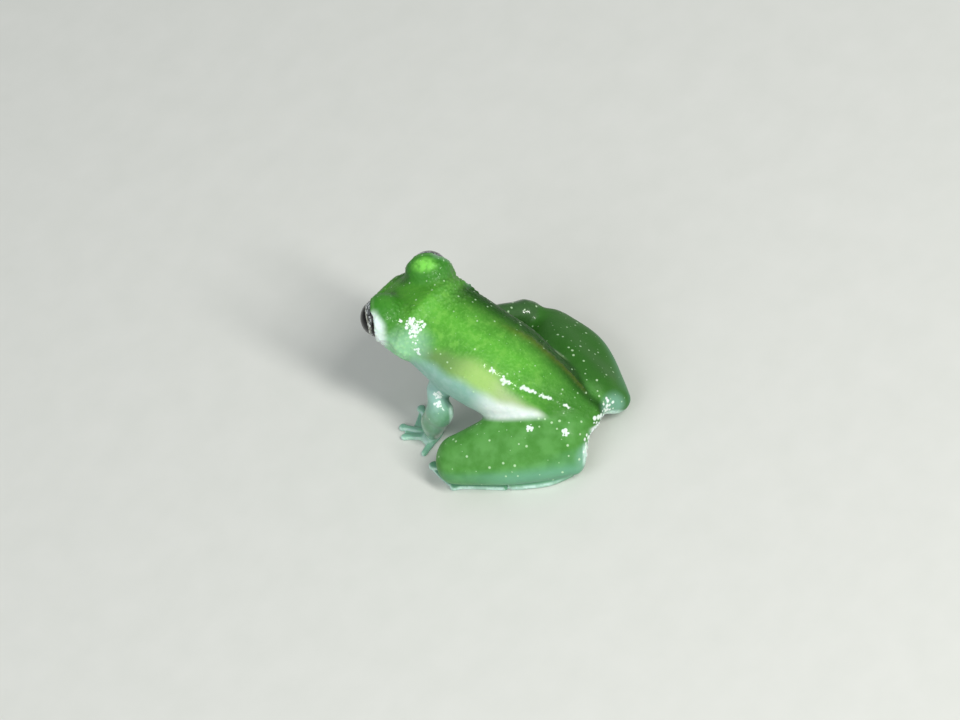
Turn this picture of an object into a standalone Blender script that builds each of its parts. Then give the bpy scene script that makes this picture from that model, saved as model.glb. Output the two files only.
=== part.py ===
"""A life-size glass frog that squats with its forequarters raised, in named solids.

Every point is given in the frog's own frame, in millimetres: forward from the vent, left of the
midline, and up from the ground. The model faces -Y, its left side is +X, and up is +Z.
"""

import math

import bmesh
import bpy
import numpy as np

# Driving dimensions, in millimetres. Trunk and head together measure 28 from vent to snout.
VENT_HEIGHT = 3.4
SNOUT_FORWARD = 4.0
JAW_HALF_WIDTH = 5.0
CHEST_HALF_WIDTH = 5.1
EYE_FORWARD = 19.5
EYE_HEIGHT = 15.6
EYE_APART = 7.1
EYE_RADIUS = 1.95
HEAD_YAW_DEG = 13.0
GAZE = (0.68, 0.70, 0.20)
LID_RADIUS = 2.4
LID_BACK = 0.35
DIGIT_THICKNESS = 0.5
DISC_RADIUS = 0.5
GAP = 0.3

# Half widths of a finger or toe at shares of its length.
DIGIT_WIDTHS = ((0, 0.45), (0.45, 0.34), (0.78, 0.32), (0.9, DISC_RADIUS), (1, DISC_RADIUS))

# The frog's vent is this far forward and to the left of the centre of the ground that it covers.
CENTRE_FORWARD = 11.485
CENTRE_LEFT = 0.295

MM = 0.001
LEFT, RIGHT = 1.0, -1.0
SIDES = ((LEFT, "left"), (RIGHT, "right"))

BACK_GREEN = (0.16, 0.42, 0.05)
LIMB_GREEN = (0.20, 0.42, 0.18)
EYE_SILVER = (0.62, 0.62, 0.60)


def world(points):
    """Points of the frog's frame, in millimetres, as places in the world in metres."""
    points = np.asarray(points, float)
    forward, left, up = points[..., 0], points[..., 1], points[..., 2]
    placed = np.stack([left - CENTRE_LEFT, CENTRE_FORWARD - forward, up], axis=-1)
    return placed * MM


def material(name, colour, roughness):
    made = bpy.data.materials.new(name)
    made.use_nodes = True
    shader = made.node_tree.nodes["Principled BSDF"]
    shader.inputs["Base Color"].default_value = (*colour, 1.0)
    shader.inputs["Roughness"].default_value = roughness
    shader.inputs["Metallic"].default_value = 0.0
    return made


def unit(vector):
    return vector / np.linalg.norm(vector, axis=-1, keepdims=True)


def smooth_through(table, at):
    """Rows of a Catmull-Rom curve through the table's rows, at parameters from 0 to rows - 1."""
    rows = np.vstack([2 * table[0] - table[1], table, 2 * table[-1] - table[-2]])
    index = np.clip(np.floor(at).astype(int), 0, len(table) - 2)
    t = (at - index)[:, None]
    p0, p1, p2, p3 = (rows[index + k] for k in range(4))
    return 0.5 * (
        2 * p1
        + (p2 - p0) * t
        + (2 * p0 - 5 * p1 + 4 * p2 - p3) * t**2
        + (3 * p1 - p0 - 3 * p2 + p3) * t**3
    )


def along(table, start_cap, end_cap, rings, cap_steps):
    """Stations spread along a limb, closer at its two round ends, and the factor that rounds them."""
    fine = smooth_through(table, np.linspace(0, len(table) - 1, 200))
    steps = np.linalg.norm(np.diff(fine[:, :3], axis=0), axis=1)
    run = np.concatenate([[0], np.cumsum(steps)])
    length = run[-1]
    angles = np.arange(1, cap_steps + 1) * math.pi / 2 / (cap_steps + 1)
    head = start_cap * (1 - np.cos(angles))
    tail = length - end_cap * (1 - np.cos(angles[::-1]))
    middle = np.linspace(start_cap, length - end_cap, rings)
    places = np.concatenate([head, middle, tail])
    stations = np.stack([np.interp(places, run, column) for column in fine.T], axis=1)
    from_start = np.clip(places / start_cap, 0, 1)
    from_end = np.clip((length - places) / end_cap, 0, 1)
    factor = np.sqrt(1 - (1 - from_start) ** 2) * np.sqrt(1 - (1 - from_end) ** 2)
    return stations, factor, fine[0, :3], fine[-1, :3]


def loft(name, table, sides, rings, caps, cap_steps=3, lift=(0, 0, 1), power=2.0, grow=0.0):
    """A closed body round a curve. A row of the table is a point of the curve, then the half width,
    the reach on the lift side and the reach on the other side. It is larger all round by grow."""
    table = np.array(table, float)
    table[:, 3:] += grow
    if grow:
        table[0, :3] -= unit(table[1, :3] - table[0, :3]) * grow
        table[-1, :3] += unit(table[-1, :3] - table[-2, :3]) * grow
    start_cap, end_cap = caps[0] + grow, caps[1] + grow
    stations, factor, first, last = along(table, start_cap, end_cap, rings, cap_steps)
    centres = stations[:, :3]
    tangents = unit(np.gradient(centres, axis=0))
    sideways = unit(np.cross(np.asarray(lift, float), tangents))
    upward = np.cross(tangents, sideways)
    angles = np.arange(sides) * 2 * math.pi / sides
    across = np.sign(np.cos(angles)) * np.abs(np.cos(angles)) ** (2 / power)
    height = np.sign(np.sin(angles)) * np.abs(np.sin(angles)) ** (2 / power)
    mesh = bmesh.new()
    loops = []
    for centre, side, up, row, shrink in zip(centres, sideways, upward, stations, factor):
        reach = np.where(height > 0, row[4], row[5]) * height
        ring = centre + shrink * (np.outer(across * row[3], side) + np.outer(reach, up))
        loops.append([mesh.verts.new(point) for point in world(ring)])
    for near, far in zip(loops, loops[1:]):
        for k in range(sides):
            n = (k + 1) % sides
            mesh.faces.new((near[k], near[n], far[n], far[k]))
    for tip, loop, turn in ((first, loops[0], -1), (last, loops[-1], 1)):
        pole = mesh.verts.new(world(tip))
        for k in range(sides):
            mesh.faces.new((pole, loop[k], loop[(k + 1) % sides])[::turn])
    bmesh.ops.recalc_face_normals(mesh, faces=mesh.faces)
    return finished(name, mesh)


def finished(name, mesh):
    data = bpy.data.meshes.new(name)
    mesh.to_mesh(data)
    mesh.free()
    data.shade_smooth()
    made = bpy.data.objects.new(name, data)
    bpy.context.scene.collection.objects.link(made)
    return made


def ball(name, centre, radius, sides=16, rings=10):
    mesh = bmesh.new()
    bmesh.ops.create_uvsphere(mesh, u_segments=sides, v_segments=rings, radius=radius * MM)
    bmesh.ops.translate(mesh, verts=mesh.verts, vec=world(centre))
    return finished(name, mesh)


def box(name, low, high):
    """A box between two corners of the frog's frame."""
    low, high = np.asarray(low, float), np.asarray(high, float)
    mesh = bmesh.new()
    bmesh.ops.create_cube(mesh, size=1.0)
    size = np.abs(world(high) - world(low))
    bmesh.ops.scale(mesh, verts=mesh.verts, vec=size)
    bmesh.ops.translate(mesh, verts=mesh.verts, vec=(world(low) + world(high)) / 2)
    return finished(name, mesh)


def combine(target, other, operation):
    """Joins or cuts the target with another object, which stays as a hidden wire."""
    step = target.modifiers.new(other.name, "BOOLEAN")
    step.operation = operation
    step.solver = "EXACT"
    step.object = other
    other.hide_render = True
    other.display_type = "WIRE"


def cut(target, other):
    combine(target, other, "DIFFERENCE")


def join(target, other):
    combine(target, other, "UNION")


# The frog's parts. Each table row is forward, left, up, half width, reach up, reach down.


def head_frame():
    """The middle of the eyes, and the head's forward, left and up directions."""
    yaw = math.radians(HEAD_YAW_DEG)
    forward = np.array([math.cos(yaw), -math.sin(yaw), 0])
    left = np.array([math.sin(yaw), math.cos(yaw), 0])
    return np.array([EYE_FORWARD, 0, EYE_HEIGHT]), forward, left, np.array([0, 0, 1.0])


def in_head(forward, left, up):
    """A point given from the middle of the eyes, along the head's own directions."""
    middle, ahead, sideways, upward = head_frame()
    return middle + forward * ahead + left * sideways + up * upward


def eye_centre(side):
    return in_head(0, side * EYE_APART / 2, 0)


def trunk_shape():
    table = [
        (0.0, 0.0, VENT_HEIGHT, 1.0, 0.9, 1.0),
        (2.0, 0.1, 4.3, 2.0, 1.7, 2.0),
        (5.0, 0.3, 6.2, 3.5, 2.6, 3.0),
        (8.5, 0.6, 8.1, 4.9, 3.3, 3.9),
        (12.0, 0.7, 10.1, CHEST_HALF_WIDTH, 3.5, 4.4),
        (15.0, 0.4, 11.8, 4.9, 3.4, 4.0),
        (17.3, -0.1, 12.8, 4.6, 3.1, 3.3),
    ]
    return dict(table=table, sides=22, rings=12, caps=(1.5, 1.4), power=2.25)


def head_shape():
    rows = [
        (-4.4, 0, -2.3, 4.9, 3.4, 2.3),
        (-2.2, 0, -2.3, JAW_HALF_WIDTH, 3.2, 1.8),
        (0.2, 0, -2.5, 4.6, 3.0, 1.5),
        (2.2, 0, -2.8, 3.7, 2.3, 1.4),
        (SNOUT_FORWARD, 0, -3.1, 2.5, 1.7, 1.2),
    ]
    table = [(*in_head(*row[:3]), *row[3:]) for row in rows]
    return dict(table=table, sides=22, rings=9, caps=(1.4, 1.8), power=2.3)


# Each leg's joints: hip, middle of the thigh, knee, middle of the shank, heel, end of the tarsus.
LEG_JOINTS = {
    LEFT: [
        (0.3, 1.8, 3.6),
        (7.2, 5.3, 4.6),
        (12.9, 9.6, 3.3),
        (6.6, 7.5, 2.6),
        (-0.1, 4.1, 1.8),
        (7.0, 7.9, 0.5),
    ],
    RIGHT: [
        (0.3, -1.8, 3.6),
        (7.3, -5.0, 4.6),
        (12.5, -8.8, 3.3),
        (6.2, -7.4, 2.7),
        (-0.4, -3.1, 1.8),
        (6.8, -7.6, 0.5),
    ],
}
# Toes from the end of the tarsus, forward and outward, and fingers in the frog's frame.
TOE_ROOTS = [(-0.5, -0.7), (0.0, -0.5), (0.1, -0.1), (0.1, 0.3), (-0.1, 0.6)]
TOE_TIPS = [(4.4, -1.9), (6.3, -1.4), (8.0, -0.3), (9.2, 1.0), (5.7, 2.6)]
FINGER_ROOTS = [(17.8, 4.9), (18.1, 5.3), (18.1, 5.8), (17.5, 6.2)]
FINGER_TIPS = [(21.3, 2.8), (21.9, 5.8), (21.0, 6.9), (17.5, 8.2)]

# Each arm's joints: shoulder, middle of the upper arm, elbow, middle of the forearm, wrist.
ARM_JOINTS = {
    LEFT: [
        (15.3, 3.6, 8.4),
        (15.3, 5.0, 6.9),
        (14.9, 5.9, 5.6),
        (16.2, 6.0, 3.6),
        (17.5, 5.7, 0.75),
    ],
    RIGHT: [
        (15.3, -3.6, 8.4),
        (14.2, -6.2, 7.3),
        (12.8, -8.3, 5.8),
        (15.7, -7.0, 3.6),
        (17.3, -5.8, 0.75),
    ],
}


def leg_shapes(side):
    """The thigh, the shank folded against it, and the sole of the foot below the shank."""
    hip, thigh, knee, shank, heel, tarsus = (np.array(p) for p in LEG_JOINTS[side])
    outer_knee = knee + (0.3, side * 0.5, -0.4)
    instep = 0.5 * (heel + tarsus) + (0, side * 0.3, -0.7)
    upper = [(*hip, 2.2, 2.1, 2.1), (*thigh, 2.3, 2.2, 2.4), (*knee, 1.7, 1.6, 1.6)]
    lower = [(*outer_knee, 1.7, 1.5, 1.5), (*shank, 2.1, 2.0, 1.7), (*heel, 1.1, 1.1, 1.0)]
    sole = [
        (*(heel + (1.5, side * 0.2, -1.25)), 0.8, 0.6, 0.7),
        (*instep, 1.0, 0.6, 0.6),
        (*tarsus, 1.2, 0.45, 0.6),
    ]
    return (
        dict(table=upper, sides=14, rings=8, caps=(2.2, 1.6)),
        dict(table=lower, sides=14, rings=8, caps=(1.6, 1.1)),
        dict(table=sole, sides=10, rings=5, caps=(0.7, 0.5), cap_steps=2),
    )


def arm_shapes(side):
    """The upper arm, the forearm and the palm."""
    shoulder, middle, elbow, forearm, wrist = ARM_JOINTS[side]
    upper = [(*shoulder, 1.4, 1.6, 1.6), (*middle, 1.05, 1.1, 1.1), (*elbow, 1.1, 1.1, 1.1)]
    lower = [(*elbow, 1.1, 1.1, 1.1), (*forearm, 1.3, 1.4, 1.25), (*wrist, 0.75, 0.8, 0.7)]
    palm = [
        (16.9, side * 5.4, 0.4, 0.8, 0.5, 0.6),
        (17.8, side * 5.4, 0.35, 1.5, 0.5, 0.6),
        (18.8, side * 5.5, 0.3, 0.9, 0.3, 0.5),
    ]
    return (
        dict(table=upper, sides=12, rings=5, caps=(1.4, 0.9), lift=(1, 0, 0)),
        dict(table=lower, sides=12, rings=6, caps=(0.9, 0.6), lift=(1, 0, 0)),
        dict(table=palm, sides=10, rings=4, caps=(0.6, 0.6), cap_steps=2),
    )


def digits(name, roots, tips, side):
    """Fingers or toes that lie on the ground and end in round discs."""
    made = []
    for number, (root, tip) in enumerate(zip(roots, tips)):
        root, tip = (np.array([p[0], side * p[1]]) for p in (root, tip))
        table = []
        for share, half_width in DIGIT_WIDTHS:
            place = root + (tip - root) * share
            middle = DIGIT_THICKNESS / 2
            table.append((*place, middle, half_width, middle, DIGIT_THICKNESS))
        shape = dict(table=table, sides=6, rings=5, caps=(0.3, DISC_RADIUS), cap_steps=2)
        made.append(loft(f"{name}_digit_{number}", **shape))
    return made


def paint(thing, surface):
    thing.data.materials.append(surface)


def build_head(surface):
    head = loft("head", **head_shape())
    for side, word in SIDES:
        gaze = unit(in_head(GAZE[0], side * GAZE[1], GAZE[2]) - in_head(0, 0, 0))
        join(head, ball("lid_dome_" + word, eye_centre(side) - LID_BACK * gaze, LID_RADIUS))
    for side, word in SIDES:
        cut(head, ball("socket_" + word, eye_centre(side), EYE_RADIUS + GAP))
    paint(head, surface)


def build_trunk(surface):
    trunk = loft("trunk", **trunk_shape())
    cut(trunk, loft("head_room", **head_shape(), grow=GAP))
    paint(trunk, surface)


def build_leg(side, word, surface, trunk_room, ground):
    upper, lower, sole = leg_shapes(side)
    thigh = loft("thigh_" + word, **upper)
    cut(thigh, trunk_room)
    shank = loft("shank_" + word, **lower)
    cut(shank, loft("thigh_room_" + word, **upper, grow=GAP))
    foot = loft("foot_" + word, **sole)
    tarsus = LEG_JOINTS[side][-1]
    start = (tarsus[0], side * tarsus[1])
    roots, tips = (np.add(places, start) for places in (TOE_ROOTS, TOE_TIPS))
    for toe in digits("foot_" + word, roots, tips, side):
        join(foot, toe)
    cut(foot, loft("shank_room_" + word, **lower, grow=GAP))
    for limb in (thigh, shank, foot):
        cut(limb, ground)
        paint(limb, surface)


def build_arm(side, word, surface, trunk_room, ground):
    upper, lower, palm = arm_shapes(side)
    upper_arm = loft("upper_arm_" + word, **upper)
    cut(upper_arm, trunk_room)
    forearm = loft("forearm_" + word, **lower)
    cut(forearm, loft("upper_arm_room_" + word, **upper, grow=GAP))
    hand = loft("hand_" + word, **palm)
    for finger in digits("hand_" + word, FINGER_ROOTS, FINGER_TIPS, side):
        join(hand, finger)
    cut(hand, loft("forearm_room_" + word, **lower, grow=GAP))
    for limb in (upper_arm, forearm, hand):
        cut(limb, ground)
        paint(limb, surface)


def main():
    for old in list(bpy.data.objects):
        bpy.data.objects.remove(old, do_unlink=True)
    green = material("back_green", BACK_GREEN, 0.35)
    clear = material("limb_green", LIMB_GREEN, 0.3)
    silver = material("eye_silver", EYE_SILVER, 0.1)
    ground = box("ground", (-15, -30, -5), (40, 30, 0))
    build_trunk(green)
    build_head(green)
    trunk_room = loft("trunk_room", **trunk_shape(), grow=GAP)
    for side, word in SIDES:
        paint(ball("eye_" + word, eye_centre(side), EYE_RADIUS), silver)
        build_leg(side, word, clear, trunk_room, ground)
        build_arm(side, word, clear, trunk_room, ground)


main()
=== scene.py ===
"""The looks of a glass frog: one skin over its solids, two wet eyes, floor, light, camera.

Shapes are given in the frog's own frame, in millimetres: forward from the vent, left of the midline
and up from the ground. In the world the frog faces -Y and its left side is at +X, in metres.
"""

import math

import bpy
import numpy as np
from mathutils import Matrix, Vector, kdtree

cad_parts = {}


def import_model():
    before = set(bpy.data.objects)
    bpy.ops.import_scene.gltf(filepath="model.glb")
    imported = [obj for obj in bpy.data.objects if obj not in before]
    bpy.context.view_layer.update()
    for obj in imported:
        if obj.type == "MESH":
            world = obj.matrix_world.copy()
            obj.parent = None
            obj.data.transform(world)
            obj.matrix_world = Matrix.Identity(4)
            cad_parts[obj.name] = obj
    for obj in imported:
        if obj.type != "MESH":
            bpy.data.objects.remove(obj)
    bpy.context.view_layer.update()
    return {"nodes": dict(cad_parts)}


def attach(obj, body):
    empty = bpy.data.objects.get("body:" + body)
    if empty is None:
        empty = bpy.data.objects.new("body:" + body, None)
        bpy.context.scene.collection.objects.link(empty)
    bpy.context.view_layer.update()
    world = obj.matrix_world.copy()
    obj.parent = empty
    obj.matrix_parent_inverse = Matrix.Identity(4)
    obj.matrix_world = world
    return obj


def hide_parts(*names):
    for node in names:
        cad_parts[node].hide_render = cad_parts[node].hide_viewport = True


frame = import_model()

MM = 0.001
SEED = 20
LEFT, RIGHT = 1.0, -1.0
SIDES = ((LEFT, "left"), (RIGHT, "right"))
ARM_PARTS = ("upper_arm", "forearm", "palm")
LEG_PARTS = ("thigh", "shank", "sole")

# The same driving sizes as the solids have, in millimetres.
EYE_FORWARD = 19.5
EYE_HEIGHT = 15.6
EYE_APART = 7.1
EYE_RADIUS = 1.95
HEAD_YAW_DEG = 13.0
GAZE = (0.68, 0.70, 0.20)
LID_RADIUS = 2.4
LID_BACK = 0.35
LID_OPENING = 2.25
RIM_RADIUS = 2.0
RIM_HEIGHT = 0.4
PUPIL_HALF_WIDTH = 1.6
PUPIL_HALF_HEIGHT = 1.4
DIGIT_THICKNESS = 0.5
DISC_RADIUS = 0.5
DIGIT_WIDTHS = ((0, 0.45), (0.45, 0.34), (0.78, 0.32), (0.9, DISC_RADIUS), (1, DISC_RADIUS))
CENTRE_FORWARD = 11.485
CENTRE_LEFT = 0.295

# The block of space that holds the frog, the spacing of its samples, and the distance written outside
# the margin round a limb.
BLOCK_LOW = np.array([-1.4, -11.5, -0.4])
BLOCK_HIGH = np.array([24.4, 12.1, 18.8])
STEP = 0.1
FAR = 3.0
MARGIN = 1.6

# Stations of the trunk: forward, left, up, half width, reach up, reach down.
TRUNK = [
    (0.0, 0.0, 3.4, 1.0, 0.9, 1.0),
    (2.0, 0.1, 4.3, 2.0, 1.7, 2.0),
    (5.0, 0.3, 6.2, 3.5, 2.6, 3.0),
    (8.5, 0.6, 8.1, 4.9, 3.3, 3.9),
    (12.0, 0.7, 10.1, 5.1, 3.5, 4.4),
    (15.0, 0.4, 11.8, 4.9, 3.4, 4.0),
    (17.3, -0.1, 12.8, 4.6, 3.1, 3.3),
]
# The same of the head, from the middle between the eyes, along the head's own directions.
HEAD = [
    (-4.4, 0, -2.3, 4.9, 3.4, 2.3),
    (-2.2, 0, -2.3, 5.0, 3.2, 1.8),
    (0.2, 0, -2.5, 4.6, 3.0, 1.5),
    (2.2, 0, -2.8, 3.7, 2.3, 1.4),
    (4.0, 0, -3.1, 2.5, 1.7, 1.2),
]
# Each leg's joints: hip, middle of the thigh, knee, middle of the shank, heel, end of the tarsus.
LEG_JOINTS = {
    LEFT: (
        (0.3, 1.8, 3.6), (7.2, 5.3, 4.6), (12.9, 9.6, 3.3),
        (6.6, 7.5, 2.6), (-0.1, 4.1, 1.8), (7.0, 7.9, 0.5),
    ),
    RIGHT: (
        (0.3, -1.8, 3.6), (7.3, -5.0, 4.6), (12.5, -8.8, 3.3),
        (6.2, -7.4, 2.7), (-0.4, -3.1, 1.8), (6.8, -7.6, 0.5),
    ),
}
# Each arm's joints: shoulder, middle of the upper arm, elbow, middle of the forearm, wrist.
ARM_JOINTS = {
    LEFT: ((15.3, 3.6, 8.4), (15.3, 5.0, 6.9), (14.9, 5.9, 5.6), (16.2, 6.0, 3.6), (17.5, 5.7, 0.75)),
    RIGHT: ((15.3, -3.6, 8.4), (14.2, -6.2, 7.3), (12.8, -8.3, 5.8), (15.7, -7.0, 3.6), (17.3, -5.8, 0.75)),
}
# The toes, forward and outward from the end of the tarsus, and the fingers, forward and outward.
TOE_ROOTS = [(-0.5, -0.7), (0.0, -0.5), (0.1, -0.1), (0.1, 0.3), (-0.1, 0.6)]
TOE_TIPS = [(4.4, -1.9), (6.3, -1.4), (8.0, -0.3), (9.2, 1.0), (5.7, 2.6)]
FINGER_ROOTS = [(17.8, 4.9), (18.1, 5.3), (18.1, 5.8), (17.5, 6.2)]
FINGER_TIPS = [(21.3, 2.8), (21.9, 5.8), (21.0, 6.9), (17.5, 8.2)]
# How far each web between neighbouring digits reaches along both of them, and how hollow its edge is.
# The last web of the foot joins the outer toe to the side of the sole, at this place from the tarsus.
TOE_WEBS = ((0.45, 0.45, 0.4), (0.6, 0.6, 0.4), (0.7, 0.65, 0.4), (1.0, 1.0, -0.08), (0.4, 0.0, 0.0))
FINGER_WEBS = ((0.95, 0.6, 0.08), (0.85, 0.9, 0.06), (0.5, 0.5, 0.3))
SOLE_EDGE = (-1.8, 0.3)
WEB_THICKNESS = 0.28
DIGIT_ZONE_HEIGHT = 0.8

# Edges of the markings and of the ridge: shares of the trunk's length, and degrees of turn round it.
# The turn is 0 at the trunk's left, 90 on top and 180 at its right.
GOLD_EDGE = ([0.2, 0.3, 0.4, 0.5, 0.6, 0.75, 0.85, 0.95], [22, 32, 42, 55, 60, 60, 54, 40])
BELLY_EDGE = ([0.15, 0.3, 0.5, 0.85, 1.0], [20, 27, 30, 30, 26])
# The painted shade down the right side of the back begins at the first turn and is full at the second.
SHADE_START = ([0.1, 0.3, 0.6], [86, 91, 95])
SHADE_END = ([0.1, 0.3, 0.6], [120, 128, 140])
RIDGE_TURN = ([0.06, 0.2, 0.5, 0.6, 0.8], [61, 58, 58, 62, 64])
JAW_SLOPE = 0.12

# Clusters of white granules and their radii: real warts at the vent and heels, then white granules as
# painted highlights on thigh, arm, cheek and jaw.
HEEL_WARTS = (((-0.5, 0.4, 3.2), 1.7), ((-0.5, 2.8, 2.8), 1.5), ((-0.3, -1.6, 3.6), 1.2))
GLINTS = (
    ((4.4, 5.0, 6.4), 0.45),
    ((1.2, 3.8, 5.6), 0.45),
    ((14.7, 5.4, 8.0), 0.55),
    ((14.7, 5.9, 7.1), 0.45),
    ((14.6, 6.2, 6.2), 0.5),
    ((17.6, 3.5, 16.2), 0.3),
    ((16.4, 3.2, 15.9), 0.75),
    ((15.8, 2.9, 15.5), 0.65),
    ((16.2, 3.7, 15.2), 0.6),
    ((15.9, 4.3, 14.6), 0.4),
    ((15.6, 4.9, 13.8), 0.5),
)
# Ways that a left surface faces where its pale rim, partly painted rim highlight, or its bluish side, partly
# painted sheen, shows; the right one faces the mirrored way.
FOOT_OUTWARD = (0.5, 1.0, 0.0)
LEG_DOWNWARD = (-0.25, 0.74, -0.62)
ARM_REARWARD = (-0.82, -0.5, -0.27)
# The blue-grey pads of the heels, and the pale folds beside them, partly painted rim highlight, with the way
# each fold faces.
HEEL_PADS = (((-0.1, -1.9, 3.0), 2.2), ((-0.3, 3.9, 2.4), 1.8))
HEEL_FOLDS = (((0.1, -2.3, 2.2), 2.0, LEG_DOWNWARD), ((-0.2, 3.7, 2.6), 1.4, ARM_REARWARD))
# The two ways across the painted highlight on an eye's dome.
DOME_HIGHLIGHT_BACKWARD = (-0.82, 0.5, -0.27)
DOME_HIGHLIGHT_UPWARD = (0.25, 0.74, 0.62)
# The cheek's grainy patch and the fold over the ear drum, from the middle between the eyes.
CHEEK = (-2.6, 3.6, -0.6)
CHEEK_RADIUS = 3.2
CHEEK_CORE = 1.4
EAR_FOLD = ((-1.3, 4.6, -0.5), (-2.8, 5.0, -0.9), (-4.2, 5.0, -2.2))
# Each kind of granule: how many, least spacing, radius, height, and how much these two vary.
GRANULES = {
    "fine": (1300, 0.24, 0.17, 0.03, 0.3),
    "coarse": (260, 0.3, 0.2, 0.07, 0.3),
    "pebbles": (500, 0.4, 0.22, 0.03, 0.3),
    "knobs": (60, 0.34, 0.22, 0.1, 0.6),
    "glint_beads": (128, 0.2, 0.165, 0.05, 0.5),
    "specks": (170, 0.45, 0.12, 0.025, 0.7),
    "spots": (150, 0.45, 0.11, 0.025, 0.7),
    "ridge_glints": (48, 0.2, 0.15, 0.05, 0.7),
}
# A weight so small that it only lets a place be picked when no better one is left.
ANYWHERE = 1e-9


def unit(vector):
    return vector / np.linalg.norm(vector, axis=-1, keepdims=True)


def away_from(place, points):
    return np.linalg.norm(points - np.array(place), axis=1)


def ramp(low, high, value):
    """A smooth step from 0 at low to 1 at high; low may be the larger."""
    t = np.clip((value - low) / (high - low), 0, 1)
    return t * t * (3 - 2 * t)


def bell(value, width):
    return np.exp(-((value / width) ** 2))


def mirrored(vector, side):
    """A direction given for the left side, as it is on either side."""
    return np.array(vector) * (1, side, 1)


def world(points):
    """Points of the frog's frame, in millimetres, as places in the world in metres."""
    points = np.asarray(points, float)
    forward, left, up = points[..., 0], points[..., 1], points[..., 2]
    return np.stack([left - CENTRE_LEFT, CENTRE_FORWARD - forward, up], axis=-1) * MM


def smooth_through(table, at):
    """Rows of a Catmull-Rom curve through the table's rows, at parameters from 0 to rows - 1."""
    rows = np.vstack([2 * table[0] - table[1], table, 2 * table[-1] - table[-2]])
    index = np.clip(np.floor(at).astype(int), 0, len(table) - 2)
    t = (at - index)[:, None]
    p0, p1, p2, p3 = (rows[index + k] for k in range(4))
    return 0.5 * (
        2 * p1
        + (p2 - p0) * t
        + (2 * p0 - 5 * p1 + 4 * p2 - p3) * t**2
        + (3 * p1 - p0 - 3 * p2 + p3) * t**3
    )


# Head directions and eye places.

yaw = math.radians(HEAD_YAW_DEG)
HEAD_AHEAD = np.array([math.cos(yaw), -math.sin(yaw), 0])
HEAD_LEFT = np.array([math.sin(yaw), math.cos(yaw), 0])
HEAD_UP = np.array([0, 0, 1.0])
HEAD_MIDDLE = np.array([EYE_FORWARD, 0, EYE_HEIGHT])


def in_head(forward, left, up):
    return HEAD_MIDDLE + forward * HEAD_AHEAD + left * HEAD_LEFT + up * HEAD_UP


def head_coordinates(points):
    """Forward, left and up of points, from the middle of the eyes, along the head's directions."""
    offset = points - HEAD_MIDDLE
    return offset @ HEAD_AHEAD, offset @ HEAD_LEFT, offset @ HEAD_UP


def eye_axes(side):
    """An eye's centre, the way it looks, the level direction across it and the upward one."""
    centre = in_head(0, side * EYE_APART / 2, 0)
    gaze = unit(in_head(GAZE[0], side * GAZE[1], GAZE[2]) - HEAD_MIDDLE)
    level = unit(np.cross(gaze, HEAD_UP)) * side
    upward = unit(np.cross(level, gaze)) * side
    return centre, gaze, level, upward


# Round-ended limbs as fields of distance.


def tube(rows, caps, power=2.0, lift=(0, 0, 1), count=36):
    """A limb round a curve. A row is a point, then half width, reach up and reach down."""
    rows = np.array(rows, float)
    fine = smooth_through(rows, np.linspace(0, len(rows) - 1, 240))
    run = np.concatenate([[0], np.cumsum(np.linalg.norm(np.diff(fine[:, :3], axis=0), axis=1))])
    places = np.linspace(caps[0], run[-1] - caps[1], count)
    stations = np.stack([np.interp(places, run, column) for column in fine.T], axis=1)
    tangents = unit(np.gradient(stations[:, :3], axis=0))
    sideways = unit(np.cross(np.asarray(lift, float), tangents))
    made = {
        "centres": stations[:, :3],
        "radii": stations[:, 3:],
        "slopes": np.gradient(stations[:, 3:], places, axis=0),
        "tangents": tangents,
        "sideways": sideways,
        "upward": np.cross(tangents, sideways),
    }
    made = {name: values.astype(np.float32) for name, values in made.items()}
    reach = float(stations[:, 3:].max())
    return made | {"spacing": places[1] - places[0], "caps": caps, "power": power, "reach": reach}


def nearest_station(points, limb):
    """The index of the limb's nearest station to each point, and the squared distance to it."""
    x, y, z = (np.ascontiguousarray(points[:, k]) for k in range(3))
    best = np.full(len(points), np.inf, np.float32)
    near = np.zeros(len(points), np.int16)
    for k, (cx, cy, cz) in enumerate(limb["centres"]):
        away = (x - cx) ** 2 + (y - cy) ** 2 + (z - cz) ** 2
        closer = away < best
        best[closer] = away[closer]
        near[closer] = k
    return near, best


def section(points, limb, near):
    """Distance of points from a limb, and their share along it, across it and up it."""
    last = len(limb["centres"]) - 1
    offset = points - limb["centres"][near]
    ahead = np.einsum("ij,ij->i", offset, limb["tangents"][near])
    over = np.where(near == 0, np.minimum(ahead, 0), 0) + np.where(near == last, np.maximum(ahead, 0), 0)
    slide = np.clip(ahead - over, -limb["spacing"], limb["spacing"])
    radii = limb["radii"][near] + limb["slopes"][near] * slide[:, None]
    across = np.einsum("ij,ij->i", offset, limb["sideways"][near])
    upward = np.einsum("ij,ij->i", offset, limb["upward"][near])
    width = radii[:, 0]
    height = np.where(upward > 0, radii[:, 1], radii[:, 2])
    cap = np.where(near == 0, limb["caps"][0], limb["caps"][1])
    power = limb["power"]
    flat = (np.abs(across / width) ** power + np.abs(upward / height) ** power) ** (1 / power)
    ratio = np.sqrt(flat**2 + (over / cap) ** 2)
    length = np.sqrt(across**2 + upward**2 + over**2)
    inner = -np.minimum(width, height)
    distance = np.where(ratio > 1e-3, length * (1 - 1 / np.maximum(ratio, 1e-3)), inner)
    return distance, (near + slide / limb["spacing"]) / last, across / width, upward / height


def limb_field(points, limb):
    """Distance of points from a limb, exact within the margin and FAR beyond it."""
    points = points.astype(np.float32)
    near, best = nearest_station(points, limb)
    close = best < (limb["reach"] + max(limb["caps"]) + MARGIN) ** 2
    found = np.full(len(points), FAR, np.float32)
    found[close] = section(points[close], limb, near[close])[0]
    return found


shape = np.round((BLOCK_HIGH - BLOCK_LOW) / STEP).astype(int) + 1
field = np.full(shape, FAR, np.float32)


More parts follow.
